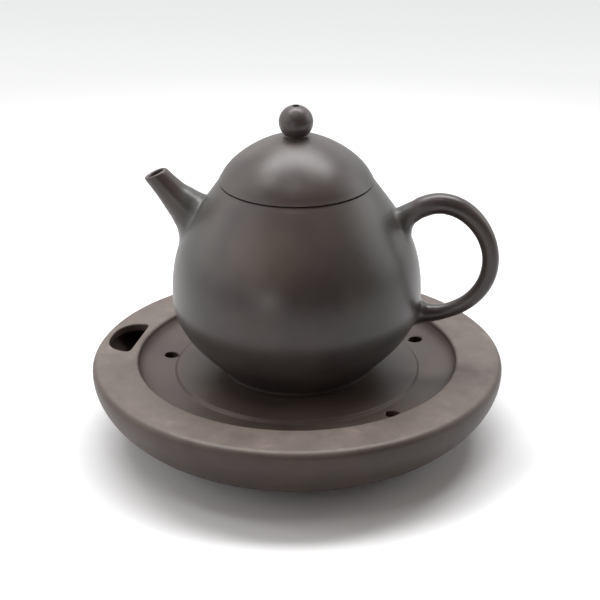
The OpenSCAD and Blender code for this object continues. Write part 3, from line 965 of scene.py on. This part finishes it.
class TEAPOT_OT_handle(bpy.types.Operator):
    """Sweep the handle along its loop and smooth both roots into the belly"""

    bl_idname = "teapot.handle"
    bl_label = "Handle"

    def execute(self, context):
        sizes, looks = context.scene.teapot_pot, context.scene.teapot_looks
        side = pot_side(sizes)
        top_z, low_z = SEAT_Z - HANDLE_TOP_DROP, REST_Z + sizes.belly_z - HANDLE_LOW_DROP
        top = Vector((belly_radius(side, top_z), top_z))
        low = Vector((belly_radius(side, low_z), low_z))
        crown = Vector((BELLY_R + CROWN_OUT, SEAT_Z - CROWN_DROP))
        outer = Vector((BELLY_R + OUTER_OUT, SEAT_Z - OUTER_DROP))
        reach, fall = crown.x - top.x, crown.y - outer.y
        back, drop = outer.x - low.x, outer.y - low.y
        steps = 44
        path = (
            [top]
            + curve_to(top, top + along(1.0, HANDLE_HEADING) * reach * 0.45,
                       crown - Vector((reach * 0.34, 0)), crown, steps)
            + curve_to(crown, crown + Vector(((outer.x - crown.x) * 0.555, 0)),
                       outer + Vector((0, fall * 0.485)), outer, steps)
            + curve_to(outer, outer - Vector((0, drop * 0.545)),
                       low + Vector((back * 0.63, 0)), low, steps)
        )

        run = [0.0]
        for a, b in zip(path, path[1:]):
            run.append(run[-1] + (b - a).length)
        total = run[-1]
        marks = (
            (0.0, HANDLE_THICK), (run[steps], HANDLE_THICK), (run[2 * steps], HANDLE_SIDE),
            (total * 0.8, HANDLE_THIN), (total, HANDLE_THIN),
        )

        def thickness(distance):
            """Radius of the loop, with the flares towards its two roots"""
            for (a, thick), (b, thin) in zip(marks, marks[1:]):
                if distance <= b:
                    radius = thick + (thin - thick) * eased((distance - a) / (b - a))
                    break
            radius += TOP_FLARE * fading(distance + 3 * MM, 11 * MM)
            return (radius + LOW_FLARE * fading(total - distance + 2 * MM, 14 * MM)) * MM

        faces_top, faces_low = belly_facing(side, top_z), belly_facing(side, low_z) - 180
        high = root_rings(top, faces_top, HANDLE_HEADING, thickness,
                          sizes.top_above, sizes.top_fillet, sizes.top_tail)
        # The lower root follows the way the loop comes in where its smoothing starts
        start = next(i for i, gone in enumerate(run) if gone > total - sizes.low_fillet * 1.05)
        way = path[start - 1] - path[start]
        rise = degrees(atan2(way.y, way.x))
        low_foot = path[start] - along(total - run[start], rise)
        base = root_rings(low_foot, faces_low + 180, rise, lambda away: thickness(total - away),
                          sizes.low_above, sizes.low_fillet, sizes.low_below)
        for ring in base.values():
            ring.facing -= 180
        rings = [high["plug"], high["edge"], high["foot"], high["start"]]
        heading = HANDLE_HEADING
        clear_top, clear_low = sizes.top_fillet * 1.3, total - sizes.low_fillet * 1.4
        for index in range(1, len(path) - 1):
            way = path[index + 1] - path[index - 1]
            angle = degrees(atan2(way.y, way.x))
            # The heading goes on past -180 degrees, with no jump, where the loop comes back up
            heading = angle if -179.9 < angle <= 90 and heading > angle - 90 else angle - 360
            if not clear_top < run[index] < clear_low:
                continue
            at_top = fading(run[index] - clear_top, ROOT_TURN)
            at_low = fading(clear_low - run[index], ROOT_TURN)
            facing = heading + (faces_top - heading) * at_top + (faces_low - heading) * at_low
            stretch = 1 / cos(radians(facing - heading))
            rings.append(Ring(path[index], facing, thickness(run[index]), stretch))
        rings += [base["start"], base["foot"], base["edge"], base["plug"]]
        handle = swept("pot_handle", rings, 48)
        body = bpy.data.objects["pot_body"]
        roots = {"top": high, "low": base}
        lute_on(handle, roots, body, 0.12 * MM)
        relax_root(handle, top, faces_top, 0.6 * MM, 9 * MM, 14)
        edit_open_ends(handle)
        bpy.ops.mesh.fill_holes(sides=0)
        leave_edit()
        close_seams(handle)
        smooth(handle, 40)
        melt_edges(handle, roots, body)
        dress(handle, pot_clay(looks))
        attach(handle, "pot")
        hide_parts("handle")
        return {"FINISHED"}


# The dome's height, and the pulls of its curve at the edge, with its slope there, and at the top
DOME_RISE = 17.3 * MM
DOME_EDGE_PULL, DOME_EDGE_SLOPE = 8.4 * MM, 104
DOME_TOP_PULL = 9.5 * MM
FLANGE_T = 2.5 * MM
# How far the ball knob is sunk into the dome, and the width of the slip smoothed round it
KNOB_SINK = 1.7 * MM
LUTE = 0.55 * MM


def dome_side(radius, top):
    """The dome's outline from its edge to its top"""
    edge = Vector((radius, SEAT_Z))
    pull = edge + along(DOME_EDGE_PULL, DOME_EDGE_SLOPE)
    return [edge] + curve_to(edge, pull, (DOME_TOP_PULL, top), (0, top), 32)


class TEAPOT_OT_lid(bpy.types.Operator):
    """Turn the lid with its flange, and the ball knob with its steam vent"""

    bl_idname = "teapot.lid"
    bl_label = "Lid and Knob"

    def execute(self, context):
        sizes, looks = context.scene.teapot_pot, context.scene.teapot_looks
        seam, vent, soft = sizes.seam, sizes.vent_r, 0.35 * MM
        top = SEAT_Z + DOME_RISE
        outer = dome_side(LID_R, top)
        inner = dome_side(LID_R - sizes.dome_t, top - sizes.dome_t)
        bore = FLANGE_R - FLANGE_T
        outline = (
            line_to(vent, height_at(inner, vent))
            + [p for p in reversed(inner) if p.x > vent and p.y > PLATE_TOP]
            + line_to(bore + soft, PLATE_TOP)
            + round_to((bore + soft, PLATE_TOP - soft), soft, 90, 180, 5)
            + round_to((bore + soft, FLANGE_LOW + soft), soft, 180, 270, 5)
            + line_to(FLANGE_R - 0.9 * MM, FLANGE_LOW)
            + round_to((FLANGE_R - 0.75 * MM, FLANGE_LOW + 0.75 * MM), 0.75 * MM, -80, 0, 6)
            + line_to(FLANGE_R, SEAT_Z)
            + line_to(LID_R - sizes.slot_depth, SEAT_Z)
            + line_to(LID_R - sizes.slot_depth, SEAT_Z + sizes.slot)
            + round_to((LID_R - seam, SEAT_Z + sizes.slot + seam), seam, -90, 5, 6)
            + [p for p in outer if p.y > SEAT_Z + sizes.slot + seam * 1.2 and p.x > vent]
            + line_to(vent, height_at(outer, vent))
            + line_to(vent, height_at(inner, vent))
        )
        lid = turned("lid_body", outline, looks.sides)
        smooth(lid)
        dress(lid, pot_clay(looks))
        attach(lid, "lid")
        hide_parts("lid_dome", "lid_plate", "lid_flange")

        radius = sizes.knob_r
        centre = Vector((0, top + radius - KNOB_SINK))
        contact = next(a for a in range(-90, 0) if (centre + along(radius, a)).y
                       > height_at(outer, (centre + along(radius, a)).x) + LUTE * 0.6)
        start = centre + along(radius, contact)
        skirt_r = start.x + LUTE
        skirt = Vector((skirt_r, height_at(outer, skirt_r) - 0.02 * MM))
        slope = (skirt - Vector((skirt_r - LUTE, height_at(outer, skirt_r - LUTE)))).normalized()
        rim = degrees(acos((vent + 0.4 * MM) / radius))
        ball = [centre + along(radius, contact + (rim - contact) * i / 44) for i in range(45)]
        outline = (
            line_to(vent, height_at(outer, vent) - 0.4 * MM)
            + line_to(skirt_r * 0.7, height_at(outer, skirt_r * 0.7) - 0.5 * MM)
            + [skirt]
            + curve_to(skirt, skirt - slope * LUTE * 0.6, start - along(LUTE * 0.6, contact + 90), start, 6)
            + ball[1:]
            + curve_to(ball[-1], ball[-1] + along(0.3 * MM, rim + 90),
                       (vent, ball[-1].y + 0.02 * MM), (vent, ball[-1].y - 0.4 * MM), 6)
            + line_to(vent, height_at(outer, vent) - 0.4 * MM)
        )
        knob = turned("lid_ball_knob", outline, 96)
        smooth(knob)
        dress(knob, pot_clay(looks))
        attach(knob, "lid")
        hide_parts("lid_knob")
        return {"FINISHED"}


# Stage

def shown_rays(paint):
    """1 for the camera's rays, and 1 for the rays that the clay's gloss or glass sends on"""
    rays = paint.node("LightPath")
    through = paint.larger(rays.part("Is Glossy Ray"), rays.part("Is Transmission Ray"))
    return rays.part("Is Camera Ray"), through


def studio_floor(looks):
    """Pale paper that keeps the pot's shadow and, further off, runs out into the white of the set"""
    floor = Finish("studio_paper")
    place = floor.node("TexCoord", out=3)
    split = floor.node("SeparateXYZ", None, {0: place})
    x, y = split.part(0), split.part(1)
    camera, through = shown_rays(floor)
    fibres = floor.noise(place, 6, 2, 0.5)
    near = floor.blend(fibres * 0.3, looks.floor, tuple(min(1.0, c * 1.02) for c in looks.floor))
    # Light that comes back up from the paper is held down, so that the clay's underside stays dark
    bounce = tuple(c * 0.30 for c in looks.floor)
    paper = floor.node("BsdfDiffuse", None, {
        "Color": floor.blend(floor.larger(camera, through), bounce, near),
    })
    shade = floor.smoothed(y, 0.20, 0.80)
    white = floor.node("Emission", None, {
        "Color": floor.blend(shade, (1.0, 1.0, 1.0), looks.backdrop), "Strength": 1.0,
    })
    seen = floor.larger(camera, through * floor.smoothed(y, 0.0, 0.5))
    far = floor.smoothed((x * x + y * y) ** 0.5, 0.24, 0.50)
    return floor.output(floor.node("MixShader", None, {0: seen * far, 1: paper, 2: white}))


# Name, bearing (0 in front, 90 to the right), height in degrees, distance, width, depth and power
LAMPS = (
    ("top_softbox", -174, 77, 0.95, 1.16, 0.28, 10.4),
    ("high_window", 180, 64, 1.20, 1.20, 0.60, 3.8),
    ("left_window", -80, 24, 1.30, 1.40, 1.05, 7.0),
    ("left_high", -72, 60, 1.10, 0.26, 0.26, 1.3),
    ("back_window", 180, 30, 1.60, 2.40, 0.80, 3.9),
    ("right_window", 110, 21, 1.30, 1.00, 0.85, 4.1),
    ("front_high", -3, 68, 1.10, 0.22, 0.20, 0.7),
    ("front_strip", -36, 20, 1.50, 0.26, 0.90, 1.2),
    ("front_lamp", -18, 5, 1.60, 0.10, 0.10, 1.7),
)
LAMP_AIM = Vector((0, 0, 0.06))
# The paper's half size, how high it rises behind, and the offset of the bend between
SWEEP_HALF, SWEEP_RISE, SWEEP_BEND = 2.2, 3, 1.2
CAMERA_AT = (0.06452, -0.5161, 0.2852)
# Degrees that the camera turns left, looks down and leans over
CAMERA_LEFT, CAMERA_DOWN, CAMERA_LEAN = 7, 24.15, -0.23
CAMERA_LENS, CAMERA_SENSOR = 94.26, 36


def add_lamp(name, bearing, height, distance, width, depth, power):
    """A soft lamp on a dome round the pot, turned towards the pot"""
    a, b = radians(bearing), radians(height)
    away = Vector((sin(a) * cos(b), -cos(a) * cos(b), sin(b)))
    clear_selection()
    bpy.ops.object.light_add(type="AREA", location=LAMP_AIM + away * distance,
                             rotation=away.to_track_quat("Z", "Y").to_euler())
    lamp = bpy.context.object
    lamp.name = lamp.data.name = name
    lamp.data.shape, lamp.data.energy = "RECTANGLE", power
    lamp.data.size, lamp.data.size_y = width, depth


def studio_world(looks):
    """White paper behind the pot, and a dim warm room on the camera's side"""
    room = Finish("studio_world", bpy.data.worlds)
    camera, through = shown_rays(room)
    ahead = room.node("SeparateXYZ", None, {0: room.node("TexCoord", out=3)}).part(1)
    behind = room.smoothed(ahead, 0.0, 0.5)
    shown = room.larger(camera, through * behind)
    return room.output(room.node("Background", None, {
        "Color": room.blend(shown, looks.room, (1.0, 1.0, 1.0)), "Strength": 1.0,
    }))


class TEAPOT_OT_studio(bpy.types.Operator):
    """Set up the paper sweep, the lamps, the world and the camera"""

    bl_idname = "teapot.studio"
    bl_label = "Studio"

    def execute(self, context):
        looks = context.scene.teapot_looks

        def at_the_back(edge):
            return all(v.co.y > SWEEP_HALF * 0.9 and v.co.z < 0.1 for v in edge.verts)

        clear_selection()
        bpy.ops.mesh.primitive_plane_add(size=2, location=(0, 0, 0))
        sweep = context.object
        sweep.name = "studio_sweep"
        edit(sweep)
        bpy.ops.transform.resize(value=(SWEEP_HALF, SWEEP_HALF, 1))
        select(sweep, lambda mesh: [e for e in mesh.edges if at_the_back(e)])
        extrude((0, 0, SWEEP_RISE))
        select(sweep, lambda mesh: [e for e in mesh.edges if at_the_back(e)])
        bpy.ops.mesh.bevel(offset=SWEEP_BEND, segments=24, affect="EDGES")
        leave_edit()
        bpy.ops.object.shade_smooth()
        dress(sweep, studio_floor(looks))

        for lamp in LAMPS:
            add_lamp(*lamp)

        context.scene.world = studio_world(looks)

        clear_selection()
        bpy.ops.object.camera_add(location=CAMERA_AT)
        camera = context.object
        camera.name = "front_camera"
        camera.rotation_mode = "QUATERNION"
        camera.rotation_quaternion = (
            Matrix.Rotation(radians(CAMERA_LEFT), 3, "Z")
            @ Matrix.Rotation(radians(90 - CAMERA_DOWN), 3, "X")
            @ Matrix.Rotation(radians(CAMERA_LEAN), 3, "Z")
        ).to_quaternion()
        camera.data.sensor_width = CAMERA_SENSOR
        camera.data.lens = CAMERA_LENS
        camera.data.clip_start, camera.data.clip_end = 0.01, 20
        context.scene.camera = camera
        context.scene.view_settings.view_transform = "Standard"
        return {"FINISHED"}


class TEAPOT_PT_panel(bpy.types.Panel):
    """Lists the pieces and their sizes"""

    bl_label = "Clay Teapot"
    bl_idname = "TEAPOT_PT_panel"
    bl_space_type = "VIEW_3D"
    bl_region_type = "UI"
    bl_category = "Teapot"

    def draw(self, context):
        for piece in STEPS:
            self.layout.operator(piece.bl_idname)
        for group in (context.scene.teapot_tray, context.scene.teapot_pot, context.scene.teapot_looks):
            box = self.layout.box()
            for name in group.__annotations__:
                box.prop(group, name)


STEPS = (
    TEAPOT_OT_tray_deck, TEAPOT_OT_tray_bowl, TEAPOT_OT_pot_body, TEAPOT_OT_spout,
    TEAPOT_OT_handle, TEAPOT_OT_lid, TEAPOT_OT_studio,
)
GROUPS = {"teapot_tray": TraySizes, "teapot_pot": PotSizes, "teapot_looks": ClayLooks}


def register():
    for item in (*GROUPS.values(), *STEPS, TEAPOT_PT_panel):
        bpy.utils.register_class(item)
    for name, group in GROUPS.items():
        setattr(bpy.types.Scene, name, PointerProperty(type=group))


def unregister():
    for name in GROUPS:
        delattr(bpy.types.Scene, name)
    for item in reversed((*GROUPS.values(), *STEPS, TEAPOT_PT_panel)):
        bpy.utils.unregister_class(item)


def main():
    register()
    for piece in STEPS:
        group, name = piece.bl_idname.split(".")
        if getattr(getattr(bpy.ops, group), name)() != {"FINISHED"}:
            raise RuntimeError(f"{piece.bl_label} was not finished")


if __name__ == "__main__":
    main()
